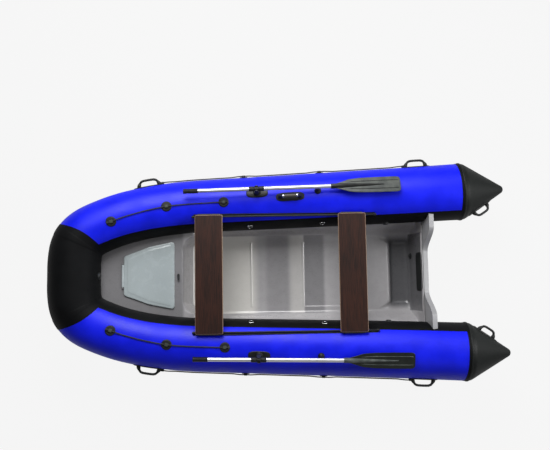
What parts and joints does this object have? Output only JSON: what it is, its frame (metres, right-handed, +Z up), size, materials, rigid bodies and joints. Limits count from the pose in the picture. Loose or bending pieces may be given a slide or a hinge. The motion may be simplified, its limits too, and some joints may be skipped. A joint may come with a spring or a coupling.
{
  "type": "rigid inflatable boat",
  "caption": "Small rigid inflatable boat with a moulded hull and deck, inflated collar, bow locker, sliding seats, oars in turning oarlocks and a raked transom.",
  "frame": {"origin": "under the keel, half way along the boat and on its centreline", "axes": "+X forward to the bow, +Y to port, +Z up"},
  "size_m": [3.5007, 1.738, 0.714],
  "materials": {
    "gelcoat": "grey gelcoat over glass laminate, smooth",
    "pale_gelcoat": "paler grey gelcoat",
    "blue_fabric": "coated boat fabric, satin blue",
    "black_fabric": "coated boat fabric, matt black",
    "rubber": "moulded black rubber, matt",
    "plain_plywood": "bare marine plywood, hidden",
    "brown_plywood": "dark brown varnished plywood",
    "aluminium": "bright drawn tube",
    "steel": "stainless bar",
    "dark_plastic": "moulded dark plastic",
    "rope": "braided black line"
  },
  "bodies": {
    "boat": {"hull_shell": "gelcoat", "deck_liner": "gelcoat", "transom_skin": "gelcoat", "transom_core": "plain_plywood", "floor_frame": "plain_plywood", "motor_pad_inner": "rubber", "motor_pad_outer": "rubber", "drain_bush": "dark_plastic", "bow_eye": "steel", "lid_hinge_pin": "steel", "tube_port": "blue_fabric", "tube_starboard": "blue_fabric", "tube_bow": "black_fabric", "cone_port": "rubber", "cone_starboard": "rubber", "baffle_port": "black_fabric", "baffle_starboard": "black_fabric", "valve_port": "dark_plastic", "valve_starboard": "dark_plastic", "valve_bow": "dark_plastic", "seat_rail_port": "rubber", "seat_rail_starboard": "rubber", "oarlock_base_port": "rubber", "oarlock_base_starboard": "rubber", "oar_rest_port": "rubber", "oar_rest_starboard": "rubber", "rope_holder_front_port": "rubber", "rope_holder_front_starboard": "rubber", "rope_holder_middle_port": "rubber", "rope_holder_middle_starboard": "rubber", "rope_holder_rear_port": "rubber", "rope_holder_rear_starboard": "rubber", "bow_lifeline_port": "rope", "bow_lifeline_starboard": "rope", "side_lifeline_port": "rope", "side_lifeline_starboard": "rope", "side_handle_front_port": "rubber", "side_handle_front_starboard": "rubber", "side_handle_rear_port": "rubber", "side_handle_rear_starboard": "rubber", "cone_handle_port": "rubber", "cone_handle_starboard": "rubber", "carry_handle": "rubber"},
    "lid": {"locker_lid": "pale_gelcoat"},
    "latch": {"lid_latch": "dark_plastic"},
    "plug": {"drain_plug": "dark_plastic"},
    "front_seat": {"seat_board_front": "brown_plywood", "seat_shoe_front_port": "dark_plastic", "seat_shoe_front_starboard": "dark_plastic"},
    "rear_seat": {"seat_board_rear": "brown_plywood", "seat_shoe_rear_port": "dark_plastic", "seat_shoe_rear_starboard": "dark_plastic"},
    "swivel_port": {"oarlock_swivel_port": "dark_plastic"},
    "swivel_starboard": {"oarlock_swivel_starboard": "dark_plastic"},
    "oar_port": {"oar_shaft_port": "aluminium", "oar_blade_port": "dark_plastic", "oar_grip_port": "rubber"},
    "oar_starboard": {"oar_shaft_starboard": "aluminium", "oar_blade_starboard": "dark_plastic", "oar_grip_starboard": "rubber"}
  },
  "joints": [
    {"name": "locker_lid_open", "type": "hinge", "parent": "boat", "child": "lid", "pos_m": [1.20846, 0, 0.43477], "axis": [0, 1, 0], "range_deg": [0, 100]},
    {"name": "lid_latch_turn", "type": "hinge", "parent": "boat", "child": "latch", "pos_m": [0.782, 0, 0.3971], "axis": [0.0698, 0, -0.9976], "range_deg": [0, 90]},
    {"name": "drain_plug_pull", "type": "slide", "parent": "boat", "child": "plug", "axis": [0.9781, 0, 0.2079], "range_m": [0, 0.035]},
    {"name": "front_seat_slide", "type": "slide", "parent": "boat", "child": "front_seat", "axis": [0.9996, 0, 0.027], "range_m": [-0.8, 0]},
    {"name": "rear_seat_slide", "type": "slide", "parent": "boat", "child": "rear_seat", "axis": [0.9996, 0, 0.027], "range_m": [-0.05, 0.8]},
    {"name": "oarlock_port_turn", "type": "hinge", "parent": "boat", "child": "swivel_port", "pos_m": [0.15686, 0.60657, 0.57739], "axis": [-0.009, -0.2587, -0.9659], "range_deg": [0, 120]},
    {"name": "oarlock_starboard_turn", "type": "hinge", "parent": "boat", "child": "swivel_starboard", "pos_m": [0.15686, -0.60657, 0.57739], "axis": [0.009, -0.2587, 0.9659], "range_deg": [0, 120]},
    {"name": "oar_port_lift", "type": "hinge", "parent": "swivel_port", "child": "oar_port", "pos_m": [0.15756, 0.62675, 0.65273], "axis": [0.0305, 0.9654, -0.2588], "range_deg": [0, 6]},
    {"name": "oar_starboard_lift", "type": "hinge", "parent": "swivel_starboard", "child": "oar_starboard", "pos_m": [0.15756, -0.62675, 0.65273], "axis": [-0.0305, 0.9654, 0.2588], "range_deg": [0, 6]}
  ]
}
